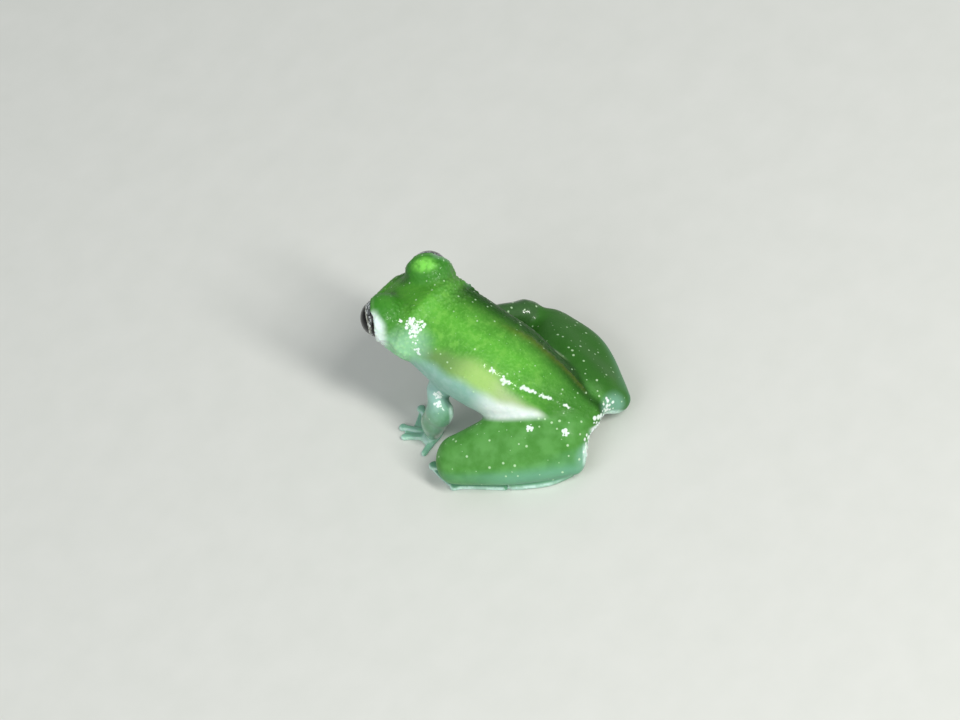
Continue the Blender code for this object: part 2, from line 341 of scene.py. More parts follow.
def window(low, high):
    """The part of the block between two corners, and the points in it."""
    first = np.maximum(np.floor((np.asarray(low) - BLOCK_LOW) / STEP).astype(int), 0)
    last = np.minimum(np.ceil((np.asarray(high) - BLOCK_LOW) / STEP).astype(int) + 1, shape)
    part = tuple(slice(a, b) for a, b in zip(first, last))
    axes = [BLOCK_LOW[k] + STEP * np.arange(first[k], last[k]) for k in range(3)]
    points = np.stack(np.meshgrid(*axes, indexing="ij"), axis=-1).reshape(-1, 3)
    return part, points


def soft_least(a, b, reach):
    """The smaller of two distances, with a fillet where they are within reach of each other."""
    near = np.maximum(reach - np.abs(a - b), 0) / reach
    return np.minimum(a, b) - near * near * reach / 4


def add_shape(low, high, distance, reach):
    part, points = window(low, high)
    found = distance(points).reshape(field[part].shape)
    field[part] = soft_least(field[part], found, reach)


def add_limb(limb, reach):
    pad = limb["reach"] + MARGIN
    low, high = limb["centres"].min(axis=0) - pad, limb["centres"].max(axis=0) + pad
    add_shape(low, high, lambda points: limb_field(points, limb), reach)


def add_ball(centre, radius, reach):
    pad = radius + 1.2
    add_shape(centre - pad, centre + pad, lambda points: away_from(centre, points) - radius, reach)


# The flesh: trunk and head, arms with hands, legs with feet.


def arm_limbs(side):
    shoulder, middle, elbow, forearm, wrist = ARM_JOINTS[side]
    upper = [(*shoulder, 1.4, 1.6, 1.6), (*middle, 1.05, 1.1, 1.1), (*elbow, 1.1, 1.1, 1.1)]
    lower = [(*elbow, 1.1, 1.1, 1.1), (*forearm, 1.3, 1.4, 1.25), (*wrist, 0.75, 0.8, 0.7)]
    palm = [
        (16.9, side * 5.4, 0.4, 0.8, 0.5, 0.6),
        (17.8, side * 5.4, 0.35, 1.5, 0.5, 0.6),
        (18.8, side * 5.5, 0.3, 0.9, 0.3, 0.5),
    ]
    return (
        tube(upper, (1.4, 0.5), lift=(1, 0, 0)),
        tube(lower, (0.5, 0.6), lift=(1, 0, 0)),
        tube(palm, (0.6, 0.6)),
    )


def leg_limbs(side):
    hip, thigh, knee, shank, heel, tarsus = (np.array(p) for p in LEG_JOINTS[side])
    outer_knee = knee + (0.3, side * 0.5, -0.4)
    instep = 0.5 * (heel + tarsus) + (0, side * 0.3, -0.7)
    upper = [(*hip, 2.2, 2.1, 2.1), (*thigh, 2.3, 2.2, 2.4), (*knee, 1.7, 1.6, 1.6)]
    lower = [(*outer_knee, 1.7, 1.5, 1.5), (*shank, 2.1, 2.0, 1.7), (*heel, 1.1, 1.1, 1.0)]
    sole = [
        (*(heel + (1.5, side * 0.2, -1.25)), 0.8, 0.6, 0.7),
        (*instep, 1.0, 0.6, 0.6),
        (*tarsus, 1.2, 0.45, 0.6),
    ]
    return tube(upper, (2.2, 1.6)), tube(lower, (1.6, 1.1)), tube(sole, (0.7, 0.5))


def digit_ends(side, kind):
    """Root and tip of each digit, in the frog's frame."""
    start, roots, tips = (0, 0), FINGER_ROOTS, FINGER_TIPS
    if kind == "toe":
        tarsus = LEG_JOINTS[side][-1]
        start, roots, tips = (tarsus[0], side * tarsus[1]), TOE_ROOTS, TOE_TIPS
    return [[np.array([a + start[0], side * (b + start[1])]) for a, b in ends] for ends in zip(roots, tips)]


def digit_limb(root, tip):
    middle = DIGIT_THICKNESS / 2
    reaches = [(half_width, middle, DIGIT_THICKNESS) for _, half_width in DIGIT_WIDTHS]
    places = [(*(root + (tip - root) * share), middle) for share, _ in DIGIT_WIDTHS]
    return tube(np.hstack([places, reaches]), (0.3, DISC_RADIUS), count=28)


def stretch_distance(points, start, stop):
    """Distance of flat points from the straight stretch between two places."""
    edge = stop - start
    share = np.clip((points - start) @ edge / max(edge @ edge, 1e-9), 0, 1)
    return np.linalg.norm(points - start - share[:, None] * edge, axis=1)


def outline_distance(points, corners):
    """Signed distance of flat points from a closed outline, negative inside."""
    away = np.full(len(points), np.inf)
    inside = np.zeros(len(points), bool)
    for a, b in zip(corners, np.roll(corners, -1, axis=0)):
        away = np.minimum(away, stretch_distance(points, a, b))
        crosses = (a[1] > points[:, 1]) != (b[1] > points[:, 1])
        rise = np.where(crosses, (points[:, 1] - a[1]) / (b[1] - a[1] or 1), 0)
        inside ^= crosses & (points[:, 0] < a[0] + rise * (b[0] - a[0]))
    return np.where(inside, -away, away)


def add_web(first, second, reach):
    """A thin skin between two neighbouring digits, with a hollow free edge."""
    (root_a, tip_a), (root_b, tip_b) = first, second
    out_a = root_a + (tip_a - root_a) * reach[0]
    out_b = root_b + (tip_b - root_b) * reach[1]
    pull = 0.5 * (out_a + out_b) + reach[2] * (0.5 * (root_a + root_b) - 0.5 * (out_a + out_b))
    t = np.linspace(0, 1, 9)[:, None]
    edge = (1 - t) ** 2 * out_a + 2 * t * (1 - t) * pull + t**2 * out_b
    corners = np.vstack([root_a, edge, root_b])
    low = np.append(corners.min(axis=0) - 0.6, -0.4)
    high = np.append(corners.max(axis=0) + 0.6, WEB_THICKNESS + 0.6)

    def distance(points):
        return np.maximum(outline_distance(points[:, :2], corners), points[:, 2] - WEB_THICKNESS)

    add_shape(low, high, distance, 0.12 if reach[1] else 0.3)


def carve_eye(side):
    """Opens the lids over an eye, and leaves a soft rim round the opening."""
    centre, gaze, _, upward = eye_axes(side)
    part, points = window(centre - 3.6, centre + 3.6)
    offset = points - centre
    out, high = offset @ gaze, offset @ upward
    radial = np.linalg.norm(offset - out[:, None] * gaze, axis=1)
    rim_height = RIM_HEIGHT + 0.26 * ramp(0.76, 0.95, high / np.maximum(radial, 0.1))
    opening = np.maximum(rim_height - out, radial - LID_OPENING)
    here = field[part].reshape(-1)
    here = -soft_least(-here, opening, 0.25)
    rim_radius = 0.12 + 0.03 * np.clip(high / EYE_RADIUS, -1, 1)
    rim = np.hypot(radial - RIM_RADIUS, out - rim_height + 0.03) - rim_radius
    field[part] = soft_least(here, rim, 0.25).reshape(field[part].shape)


trunk_limb = tube(TRUNK, (1.5, 1.4), power=2.25, count=48)
head_limb = tube([(*in_head(*row[:3]), *row[3:]) for row in HEAD], (1.4, 1.8), power=2.3)
arms = {side: arm_limbs(side) for side in (LEFT, RIGHT)}
legs = {side: leg_limbs(side) for side in (LEFT, RIGHT)}


def fill_field():
    add_limb(trunk_limb, 0.1)
    add_limb(head_limb, 1.5)
    for side in (LEFT, RIGHT):
        centre, gaze, _, _ = eye_axes(side)
        add_ball(centre - LID_BACK * gaze, LID_RADIUS, 0.7)
        upper_arm, forearm, palm = arms[side]
        add_limb(upper_arm, 1.1)
        add_limb(forearm, 1.2)
        add_ball(np.array(ARM_JOINTS[side][2]) + (-0.15, 0, -0.1), 1.15, 0.8)
        add_limb(palm, 0.4)
        thigh, shank, sole = legs[side]
        add_limb(thigh, 1.2)
        add_limb(shank, 2.2)
        add_limb(sole, 1.0)
        for kind, webs in (("finger", FINGER_WEBS), ("toe", TOE_WEBS)):
            ends = digit_ends(side, kind)
            for root, tip in ends:
                add_limb(digit_limb(root, tip), 0.2)
            if kind == "toe":
                tarsus = LEG_JOINTS[side][-1]
                sole_edge = np.array([tarsus[0] + SOLE_EDGE[0], side * (tarsus[1] + SOLE_EDGE[1])])
                ends.append((sole_edge, sole_edge))
            for first, second, reach in zip(ends, ends[1:], webs):
                add_web(first, second, reach)
        carve_eye(side)
    heights = BLOCK_LOW[2] + STEP * np.arange(shape[2])
    np.maximum(field, -heights.astype(np.float32), out=field)


# The skin's mesh, drawn from the field.


def surface_net():
    """Points and quads of the surface where the field is zero."""
    inside = field < 0
    total = np.zeros([n - 1 for n in shape], np.uint8)
    corners = list(np.ndindex(2, 2, 2))
    size = total.shape
    for i, j, k in corners:
        total += inside[i : i + size[0], j : j + size[1], k : k + size[2]]
    mixed = (total > 0) & (total < 8)
    cells = np.argwhere(mixed)
    number = np.full(size, -1, np.int32)
    number[mixed] = np.arange(len(cells))
    value = {}
    for corner in corners:
        at = cells + corner
        value[corner] = field[tuple(at.T)].astype(float)
    sums = np.zeros((len(cells), 3))
    count = np.zeros(len(cells))
    for start in corners:
        for axis in range(3):
            if start[axis]:
                continue
            stop = tuple(1 if k == axis else start[k] for k in range(3))
            a, b = value[start], value[stop]
            cross = (a < 0) != (b < 0)
            share = np.where(cross, a / np.where(cross, a - b, 1), 0)
            place = np.array(start, float) + share[:, None] * np.eye(3)[axis]
            sums += np.where(cross[:, None], place, 0)
            count += cross
    points = BLOCK_LOW + STEP * (cells + sums / count[:, None])
    quads = []
    for axis in range(3):
        at = np.argwhere(np.diff(inside, axis=axis))
        p, q = (axis + 1) % 3, (axis + 2) % 3
        at = at[(at[:, p] > 0) & (at[:, q] > 0) & (at[:, p] < size[p]) & (at[:, q] < size[q])]
        step_p, step_q = np.eye(3, dtype=int)[[p, q]]
        ring = [at - step_p - step_q, at - step_q, at, at - step_p]
        loop = np.stack([number[tuple(cell.T)] for cell in ring], axis=1)
        outward = inside[tuple(at.T)]
        loop[~outward] = loop[~outward][:, ::-1]
        quads.append(loop)
    return points, np.concatenate(quads)


def edges_of(quads):
    ends = np.concatenate([quads[:, [k, (k + 1) % 4]] for k in range(4)])
    ends.sort(axis=1)
    return np.unique(ends, axis=0)


def relaxed(points, edges, rounds, share):
    """Points drawn towards the mean of their neighbours."""
    n = len(points)
    first, second = edges.T
    count = np.bincount(edges.ravel(), minlength=n)
    for _ in range(rounds):
        sums = [
            np.bincount(first, points[second, k], n) + np.bincount(second, points[first, k], n)
            for k in range(3)
        ]
        mean = np.stack(sums, axis=1) / count[:, None]
        points = points + share * (mean - points)
    return points


def sampled(points):
    """The field at points inside the block, from the eight samples round each."""
    at = (points - BLOCK_LOW) / STEP
    base = np.clip(np.floor(at).astype(int), 0, shape - 2)
    share = at - base
    found = np.zeros(len(points))
    for corner in np.ndindex(2, 2, 2):
        weight = np.prod(np.where(corner, share, 1 - share), axis=1)
        found += weight * field[tuple((base + corner).T)]
    return found


def onto_surface(points):
    """Points moved along the field's slope until it is zero."""
    slope = np.zeros_like(points)
    for axis in range(3):
        shift = np.eye(3)[axis] * STEP / 2
        slope[:, axis] = (sampled(points + shift) - sampled(points - shift)) / STEP
    steep = np.maximum((slope**2).sum(axis=1), 0.25)
    move = -sampled(points)[:, None] * slope / steep[:, None]
    return points + np.clip(move, -STEP, STEP)


def normals_of(points, quads):
    a, b, c, d = (points[quads[:, k]] for k in range(4))
    face = np.cross(c - a, d - b)
    total = np.stack(
        [sum(np.bincount(quads[:, k], face[:, m], len(points)) for k in range(4)) for m in range(3)],
        axis=1,
    )
    return total / np.maximum(np.linalg.norm(total, axis=1, keepdims=True), 1e-12)


# Places on the skin, as shares from 0 to 1 that drive its colours and relief.


def digit_distance(points, kind):
    """How far points are, seen from above, from the nearest finger or toe."""
    away = np.full(len(points), FAR)
    for side in (LEFT, RIGHT):
        for root, tip in digit_ends(side, kind):
            away = np.minimum(away, stretch_distance(points[:, :2], root, tip))
    return away - DIGIT_THICKNESS


def limb_sections(points):
    """Each limb's section at the points: the distance, and the shares along, across and up it."""
    fine = points.astype(np.float32)
    limbs = {"trunk": trunk_limb, "head": head_limb}
    for side, word in SIDES:
        for names, found in ((ARM_PARTS, arms), (LEG_PARTS, legs)):
            limbs |= {name + word: limb for name, limb in zip(names, found[side])}
    return {name: section(fine, limb, nearest_station(fine, limb)[0]) for name, limb in limbs.items()}


def limb_zones(points, part):
    """How far each place belongs to a leg, to an arm, to any limb, and to an arm rather than a leg."""
    body = np.minimum(part["trunk"][0], part["head"][0])
    arm = np.min([part[name + word][0] for name in ARM_PARTS for _, word in SIDES], axis=0)
    leg = np.min([part[name + word][0] for name in LEG_PARTS for _, word in SIDES], axis=0)
    grounded = points[:, 2] < DIGIT_ZONE_HEIGHT
    arm = np.where(grounded, np.minimum(arm, digit_distance(points, "finger")), arm)
    leg = np.where(grounded, np.minimum(leg, digit_distance(points, "toe")), leg)
    return {
        "leg": ramp(-0.5, 0.5, np.minimum(body, arm) - leg),
        "arm": ramp(-0.7, 0.7, np.minimum(body, leg) - arm),
        "limb": ramp(-0.6, 0.6, body - np.minimum(arm, leg)),
        "armward": ramp(-0.6, 0.6, leg - arm),
    }


def trunk_zones(part, trunk):
    """The golden flanks and pale belly, painted shade down the right edge of the back, and the back's bright
    middle, partly painted light.
    """
    _, along, across, upward = part["trunk"]
    turn = np.degrees(np.arctan2(upward, across))
    turn = np.where(turn < -90, turn + 360, turn)
    angle = np.degrees(np.arctan2(upward, np.abs(across)))
    wave = 1.5 * np.sin(along * 17) + np.sin(along * 41 + 1)
    gold_edge = np.interp(along, *GOLD_EDGE)
    gold_edge = np.where(across > 0, gold_edge, 0.3 * gold_edge)
    belly_edge = np.interp(along, *BELLY_EDGE)
    belly_edge = np.where(across > 0, belly_edge, 0.5 * belly_edge - 10)
    painted_shade = ramp(np.interp(along, *SHADE_START), np.interp(along, *SHADE_END), turn)
    return {
        "along": along,
        "angle": angle,
        "gold": ramp(gold_edge + 11, gold_edge - 9, angle + wave) * ramp(0.08, 0.28, along) * trunk,
        "belly": ramp(belly_edge + 10, belly_edge - 10, angle + wave) * trunk,
        # Painted shade: the right side of the back is darkened as if out of the light.
        "painted_shade": painted_shade * ramp(225, 185, turn) * (0.35 + 0.65 * trunk),
        # A lighter band along the top of the back: partly the skin's own colour, partly painted light.
        "bright": ramp(66, 84, turn) * ramp(99, 89, turn) * ramp(0.25, 0.5, along),
    }


def head_zones(points, trunk):
    """The dark crown, and the pale jaw and throat."""
    forward, left, up = head_coordinates(points)
    level = up + JAW_SLOPE * forward
    jaw = ramp(0.5, -1.6, level) * ramp(1.2, 3.4, left) * ramp(-6.8, -4.4, forward)
    jaw *= 1 - trunk * ramp(-2.2, -4.0, up)
    throat = ramp(-1.4, -2.6, level) * (1 - trunk)
    return {"crown": ramp(-4.0, -2.1, forward) * (1 - 0.8 * trunk), "jaw": np.maximum(jaw, throat)}


def eye_zones(points):
    """The white corner behind the left eye, partly painted highlight, and each eye's dome, the painted
    highlight on it and the lid's margin.
    """
    white, dome_highlight, dome, margin = (np.zeros(len(points)) for _ in range(4))
    # shine is the strength of the painted highlight on each dome: full on the right, faint on the left.
    for side, shine, spread in ((LEFT, 0.1, 1.0), (RIGHT, 1.0, 0.0)):
        centre, gaze, level, upward = eye_axes(side)
        offset = points - centre
        out, across, high = offset @ gaze, offset @ level, offset @ upward
        radial = np.hypot(across, high)
        distance = np.linalg.norm(offset, axis=1)
        away = np.maximum(distance, 0.1)
        under = -(0.906 * across + 0.42 * high) / np.maximum(radial, 0.1)
        width = 0.05 + 0.66 * spread * ramp(0.05, 0.6, under)
        # The white corner is partly the lid's own white and partly a painted highlight. It spreads wide only
        # at the left eye.
        patch = ramp(-0.25 - width, 0.7 - width, out) * ramp(-0.2, 0.25, under) * (0.3 + 0.7 * spread)
        white = np.maximum(white, patch * ramp(3.4, 2.3, distance))
        top = unit(-0.43 * HEAD_AHEAD - 0.31 * side * HEAD_LEFT + 0.85 * HEAD_UP)
        facing = (offset @ top) / away
        near_dome = ramp(3.1, 2.4, distance)
        dome = np.maximum(dome, near_dome * ramp(0.2, 0.6, facing))
        backward = offset @ mirrored(DOME_HIGHLIGHT_BACKWARD, side) / away
        raised = offset @ mirrored(DOME_HIGHLIGHT_UPWARD, side) / away
        spot = np.hypot((backward + 0.2) / 0.6, (raised - 0.2) / 0.38)
        dome_highlight = np.maximum(dome_highlight, shine * ramp(1.15, 0.4, spot) * near_dome * (facing > 0))
        margin = np.maximum(margin, ramp(0.35, 0.1, np.hypot(radial - RIM_RADIUS, out - 0.45)))
    return {"white": white, "dome_highlight": dome_highlight, "dome": dome, "margin": margin}


def body_zones(points, part):
    """Named shares over the skin for every part of it."""
    trunk = ramp(1.2, -1.2, part["trunk"][0] - part["head"][0])
    zones = limb_zones(points, part) | trunk_zones(part, trunk) | head_zones(points, trunk)
    zones |= eye_zones(points)
    zones["belly"] = np.maximum(zones["belly"], zones["jaw"])
    return zones


rng = np.random.default_rng(SEED)


def scattered(points, tree, weight, count, spacing):
    """Places picked at random by weight, none closer together than the spacing."""
    chance = weight / weight.sum()
    picked = rng.choice(len(points), size=min(count * 3, int((weight > 0).sum())), replace=False, p=chance)
    kept = []
    taken = np.zeros(len(points), bool)
    for index in picked:
        if taken[index]:
            continue
        kept.append(index)
        for _, other, _ in tree.find_range(points[index], spacing):
            taken[other] = True
        if len(kept) == count:
            break
    return kept


def raise_domes(points, tree, centres, radius, height, spread):
    """Height and cover of round grains on the skin: each vertex takes the tallest that covers it."""
    lift = np.zeros(len(points))
    cover = np.zeros(len(points))
    for index in centres:
        size = radius * (1 + spread * rng.uniform(-1, 1))
        tall = height * (1 + spread * rng.uniform(-1, 1))
        for _, other, away in tree.find_range(points[index], size):
            share = 1 - (away / size) ** 2
            lift[other] = max(lift[other], tall * share)
            cover[other] = max(cover[other], share)
    return lift, cover


def near_places(points, places, core=0.4):
    """A share that is 1 within the core of a place's radius and falls to 0 at the radius."""
    share = np.zeros(len(points))
    for place, radius in places:
        away = away_from(place, points)
        share = np.maximum(share, ramp(radius, core * radius, away))
    return share


def painted_crease_shade(points, edges, normals):
    """Painted shade where the skin folds inward: between limbs, and on the inner side of each eye's dome."""
    depth = ((relaxed(points, edges, 14, 0.5) - points) * normals).sum(axis=1)
    hollow = ramp(0.004, 0.045, depth) * ramp(0.6, 1.6, points[:, 2])
    creases = [(in_head(0.9, side * 1.3, 0.7), 1.3) for side in (LEFT, RIGHT)]
    return np.maximum(hollow, 0.75 * near_places(points, creases))


def build_skin():
    fill_field()
    points, quads = surface_net()
    edges = edges_of(quads)
    for _ in range(2):
        points = relaxed(points, edges, 2, 0.5)
        points = onto_surface(points)
    points = relaxed(points, edges, 1, 0.3)
    part = limb_sections(points)
    zones = body_zones(points, part)
    normals = normals_of(points, quads)
    tree = kdtree.KDTree(len(points))
    for index, place in enumerate(points):
        tree.insert(place, index)
    tree.balance()
    zones["hollow"] = painted_crease_shade(points, edges, normals)
    lift, marks = relief(points, normals, zones, part, tree)
    points = points + normals * lift[:, None]
    points[:, 2] = np.maximum(points[:, 2], 0)
    for name in ("angle", "leg", "arm"):
        zones.pop(name)
    return points, quads, marks | zones


def mouth_relief(points, part, marks):
    """The mouth runs round the snout and back under each eye, and dips a little at its corner."""
    forward, _, up = head_coordinates(points)
    height = up - (-3.35 - 0.10 * np.maximum(0.5 - forward, 0) ** 1.3)
    in_mouth = ramp(-3.0, -2.4, forward) * ramp(1.2, 0.6, np.abs(height))
    on_head = ramp(0.4, 0.0, part["head"][0]) * ramp(-3.2, -2.5, forward)
    groove = bell(height, 0.11)
    marks["mouth"] = on_head * groove * in_mouth
    return on_head * in_mouth * (0.05 * bell(height - 0.28, 0.2) - 0.13 * groove)


def nostril_relief(points, tree, marks):
    """Nostrils stand on low swellings near the tip of the snout."""
    lift, nostril = np.zeros(len(points)), np.zeros(len(points))
    for side in (LEFT, RIGHT):
        aim = unit(np.array([0.45, side * 0.7, 0.55]))
        start = np.array([3.3, side * 1.15, -1.9]) + 0.3 * aim
        index = tree.find(in_head(*start))[1]
        away = away_from(points[index], points)
        lift += 0.14 * bell(away, 0.5) - 0.24 * bell(away, 0.17)
        nostril += bell(away, 0.15)
    marks["nostril"] = nostril
    return lift


def ear_relief(points, tree):
    """A ring round each ear drum, and the fold over it from behind the eye towards the shoulder."""
    lift = np.zeros(len(points))
    for side in (LEFT, RIGHT):
        ear = points[tree.find(in_head(-2.5, side * 5.0, -1.9))[1]]
        away = away_from(ear, points)
        lift += 0.05 * bell(away - 0.62, 0.16) - 0.05 * bell(away, 0.45)
        fold = np.array([in_head(*mirrored(place, side)) for place in EAR_FOLD])
        fold = smooth_through(fold, np.linspace(0, len(EAR_FOLD) - 1, 30))
        away = np.full(len(points), np.inf)
        for place in fold:
            away = np.minimum(away, away_from(points[tree.find(place)[1]], points))
        lift += 0.12 * bell(away, 0.3)
    return lift


def side_ridge(zones, part):
    """A low ridge parts the back from each flank."""
    along = zones["along"]
    turn = np.interp(along, *RIDGE_TURN) + 1.1 * np.sin(along * 150) * np.sin(along * 67)
    ridge = bell(zones["angle"] - turn, 5.5) * ramp(0.02, 0.12, along)
    return ridge * (ramp(0.78, 0.55, along) * ramp(0.3, 0.0, np.abs(part["trunk"][0])))


def granule_relief(points, normals, zones, part, tree, ridge, marks):
    """Grains on the back, cheeks, flanks and limbs, white warts at the vent and heels, and white grains as
    painted highlights on the left ridge and at the glints.
    """
    along, height = zones["along"], points[:, 2]
    above = np.clip(normals[:, 2], 0, 1)
    on_left = part["trunk"][2] > 0
    body = (1 - zones["leg"]) * (1 - zones["arm"])
    limb = np.maximum(zones["leg"], zones["arm"])
    back = body * above * (1 - zones["belly"])
    cheeks = [(in_head(*mirrored(CHEEK, side)), CHEEK_RADIUS) for side in (LEFT, RIGHT)]
    cheek = near_places(points, cheeks, CHEEK_CORE / CHEEK_RADIUS)
    flank = body * ramp(0.75, 0.3, above) * ramp(2.0, 6.0, height) * (1 - zones["white"])
    warts = near_places(points, HEEL_WARTS)
    pads = near_places(points, HEEL_PADS)
    glints = near_places(points, GLINTS)
    breaks = ramp(-0.5, 0.5, np.sin(along * 52 + 1.2) + 0.6 * np.sin(along * 23))
    # The painted highlight along the left ridge, broken into dashes.
    ridge_glint = breaks * ramp(0.62, 0.57, along) * on_left
    weights = {
        "fine": back + ANYWHERE,
        "coarse": cheek * (0.2 + above) + ANYWHERE,
        "pebbles": flank * (1 - 0.7 * zones["belly"]) + ANYWHERE,
        "knobs": warts * ramp(0.3, 0.9, height) + ANYWHERE,
        "glint_beads": glints,
        "specks": limb * (0.1 + above) * ramp(0.5, 1.2, height) + ANYWHERE,
        "spots": back + ANYWHERE,
        "ridge_glints": ridge_glint * ridge**8 * (ridge > 0.5),
    }
    lift, cover = np.zeros(len(points)), {}
    for kind, weight in weights.items():
        count, spacing, radius, tall, spread = GRANULES[kind]
        centres = scattered(points, tree, weight, count, spacing)
        rise, cover[kind] = raise_domes(points, tree, centres, radius, tall, spread)
        lift += rise
    # A white line painted as the highlight along the left ridge.
    line = ridge_glint * ramp(0.6, 0.9, ridge)
    marks["fleck"] = np.maximum(cover["specks"], 0.8 * cover["spots"])
    # White of the real warts, with painted highlights: the glint beads, the ridge glints and the ridge line.
    marks["warts_and_glints"] = np.maximum.reduce([cover["knobs"], cover["glint_beads"], 0.75 * cover["ridge_glints"], 0.6 * line])
    marks["grain"] = cover["coarse"] * (0.2 + 0.8 * zones["jaw"])
    marks["heel"] = pads
    wet = [ridge * on_left, 0.4 * cheek, warts, pads, glints, zones["white"], 0.7 * zones["arm"]]
    marks["wet"] = np.clip(np.maximum.reduce(wet), 0, 1)
    return lift


def edge_marks(points, normals, zones, marks):
    """Pale folds, partly painted rim highlight, edge the feet, the heels and the rear of the left forearm,
    over bluish lower sides that are partly painted sheen.
    """
    height = points[:, 2]
    rim, blue = np.zeros(len(points)), np.zeros(len(points))
    for side in (LEFT, RIGHT):
        on_side = (zones["leg"] + 0.7 * zones["arm"]) * (points[:, 1] * side > 0)
        outward = normals @ mirrored(FOOT_OUTWARD, side)
        rim = np.maximum(rim, ramp(0.15, 0.6, outward) * ramp(0.95, 0.6, height) * on_side)
        # Bluish lower side of each leg: partly the limb's own tone, partly painted sheen. It is weaker on
        # the right, where it is painted as in shade.
        lower = normals @ mirrored(LEG_DOWNWARD, side)
        low_leg = ramp(4.4, 3.4, height) * (1 - 0.6 * ramp(4.0, 11.0, points[:, 0]))
        blue = np.maximum(blue, ramp(0.05, 0.6, lower) * low_leg * (0.7 + 0.3 * side) * on_side)
    on_arm = zones["arm"] * (points[:, 1] > 0) * ramp(7.2, 6.4, height) * ramp(1.2, 2.0, height)
    # Painted rim highlight on the rear of the left forearm only.
    rim = np.maximum(rim, ramp(0.58, 0.82, normals @ ARM_REARWARD) * on_arm)
    for place, radius, toward in HEEL_FOLDS:
        rim = np.maximum(rim, near_places(points, ((place, radius),)) * ramp(0.68, 0.88, normals @ toward))
    marks["rim"] = rim
    marks["blue"] = np.maximum(blue, ramp(1.0, 0.6, height)) * zones["leg"]


def relief(points, normals, zones, part, tree):
    """How far folds, mouth, nostrils and granules raise the skin, and the marks that colour them."""
    # The right mark paints shade on the right leg and the right elbow.
    marks = {"height": points[:, 2], "right": ramp(-1.0, -3.0, points[:, 1])}
    lift = mouth_relief(points, part, marks) + nostril_relief(points, tree, marks) + ear_relief(points, tree)
    ridge = side_ridge(zones, part)
    along = zones["along"]
    lift += 0.16 * ridge * (0.8 + 0.2 * np.sin(along * 95 + 2 * np.sin(along * 31)))
    lift += granule_relief(points, normals, zones, part, tree, ridge, marks)
    edge_marks(points, normals, zones, marks)
    marks["seam"] = ridge * (part["trunk"][2] < 0)
    return lift, marks


def put_in_scene(name, data, material):
    data.shade_smooth()
    data.materials.append(material)
    made = bpy.data.objects.new(name, data)
    bpy.context.scene.collection.objects.link(made)
    return made


def skin_mesh(name, points, quads, marks):
    data = bpy.data.meshes.new(name)
    data.vertices.add(len(points))
    data.vertices.foreach_set("co", world(points).astype(np.float32).ravel())
    data.loops.add(quads.size)
    data.loops.foreach_set("vertex_index", quads.astype(np.int32).ravel())
    data.polygons.add(len(quads))
    data.polygons.foreach_set("loop_start", np.arange(0, quads.size, 4, dtype=np.int32))
    data.update(calc_edges=True)
    data.validate()
    for mark, values in marks.items():
        layer = data.attributes.new(mark, "FLOAT", "POINT")
        layer.data.foreach_set("value", values.astype(np.float32))
    return data


# Materials.


def srgb(red, green, blue):
    """A colour written as in a picture, 0 to 255, as light."""
    share = np.array([red, green, blue]) / 255
    light = np.where(share <= 0.04045, share / 12.92, ((share + 0.055) / 1.055) ** 2.4)
    return (*light, 1.0)


class Shader:
    """A material's nodes, joined by short calls."""

    def __init__(self, name):
        self.material = bpy.data.materials.new(name)
        self.material.use_nodes = True
        self.tree = self.material.node_tree

    def feed(self, socket, value):
        if isinstance(value, bpy.types.NodeSocket):
            self.tree.links.new(value, socket)
        elif socket.type == "RGBA":
            socket.default_value = srgb(*value)
        else:
            socket.default_value = value

    def node(self, kind, inputs=None, **settings):
        made = self.tree.nodes.new("ShaderNode" + kind)
        for key, value in settings.items():
            setattr(made, key, value)
        for key, value in (inputs or {}).items():
            self.feed(made.inputs[key], value)
        return made

    def mark(self, name, most=1.0):
        """A mark of the skin, times the most that it may be."""
        mark = self.node("Attribute", attribute_name=name).outputs["Fac"]
        return mark if most == 1.0 else self.math("MULTIPLY", mark, most)

    def place(self):
        return self.node("TexCoord").outputs["Object"]

    def mix(self, share, low, high):
        inputs = {"Factor": share, 6: low, 7: high}
        return self.node("Mix", inputs, data_type="RGBA").outputs[2]

    def math(self, kind, first, second):
        return self.node("Math", {0: first, 1: second}, operation=kind).outputs[0]

    def range(self, value, low, high, start=0.0, end=1.0):
        inputs = {"Value": value, "From Min": low, "From Max": high, "To Min": start, "To Max": end}
        return self.node("MapRange", inputs, interpolation_type="SMOOTHSTEP").outputs["Result"]

    def noise(self, size, detail=3.0, vector=None):
        """Cloudy noise with patches of about the given size in metres."""
        inputs = {"Vector": vector or self.place(), "Scale": 1 / size, "Detail": detail}
        return self.node("TexNoise", inputs).outputs["Fac"]

    def cells(self, size, feature="F1", vector=None):
        inputs = {"Vector": vector or self.place(), "Scale": 1 / size}
        return self.node("TexVoronoi", inputs, feature=feature).outputs["Distance"]

    def bump(self, height, distance, strength, normal=None):
        inputs = {"Height": height, "Distance": distance, "Strength": strength}
        if normal:
            inputs["Normal"] = normal
        return self.node("Bump", inputs).outputs["Normal"]

    def finish(self, inputs):
        """The material, with what its surface takes."""
        for key, value in inputs.items():
            self.feed(self.tree.nodes["Principled BSDF"].inputs[key], value)
        return self.material


